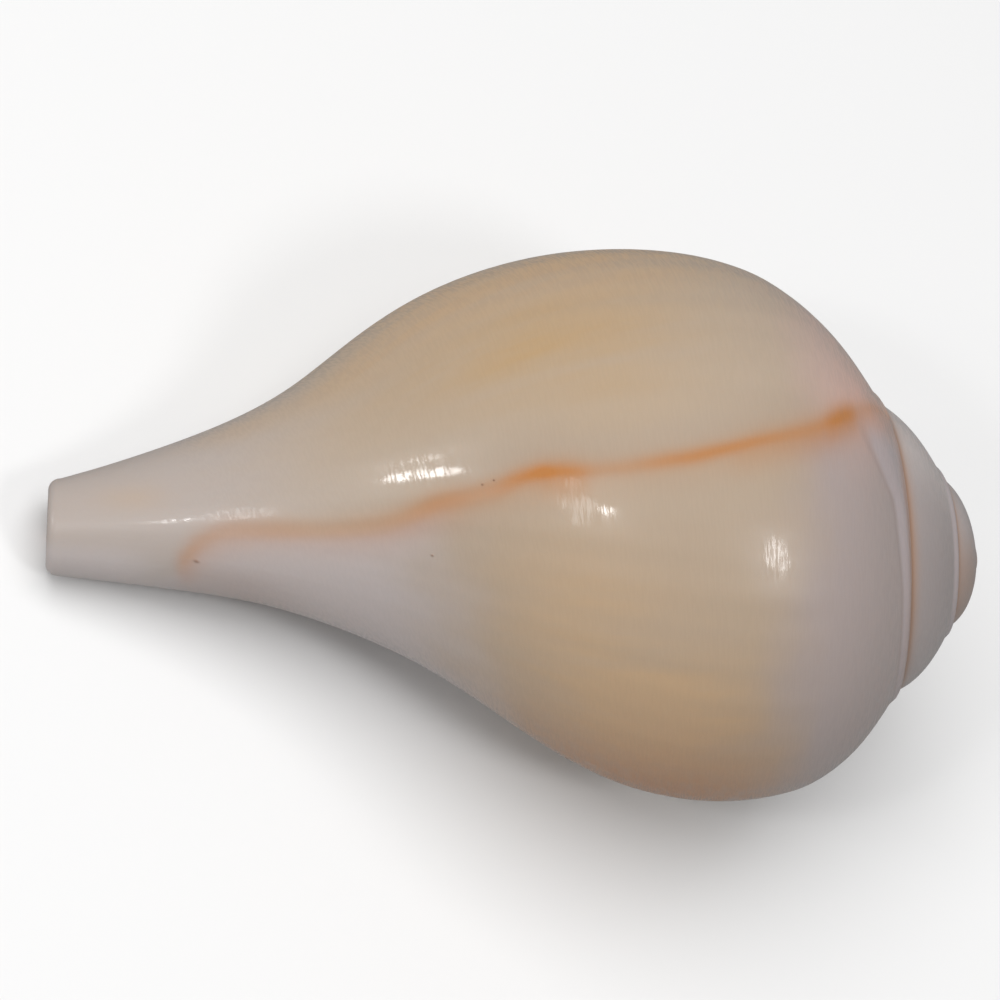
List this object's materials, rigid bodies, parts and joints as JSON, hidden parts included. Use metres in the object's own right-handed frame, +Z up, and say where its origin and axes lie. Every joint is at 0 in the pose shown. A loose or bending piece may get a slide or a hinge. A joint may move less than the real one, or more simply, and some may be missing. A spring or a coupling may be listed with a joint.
{
  "type": "conch shell",
  "caption": "Polished spiral sea shell with a swollen last turn, a low spire and a long canal sawn flat at its tip, lying with its opening down.",
  "frame": {"origin": "middle of the foot of the bounding box, on the surface that the shell lies on", "axes": "+X level along the shell from the canal to the spire, +Y towards the lip, +Z up, away from the opening"},
  "size_m": [0.1172, 0.0728, 0.0625],
  "materials": {
    "shell": "polished shell, cream with tan clouds, glossy like glazed porcelain"
  },
  "bodies": {
    "root": {"shell": "shell"}
  },
  "joints": []
}
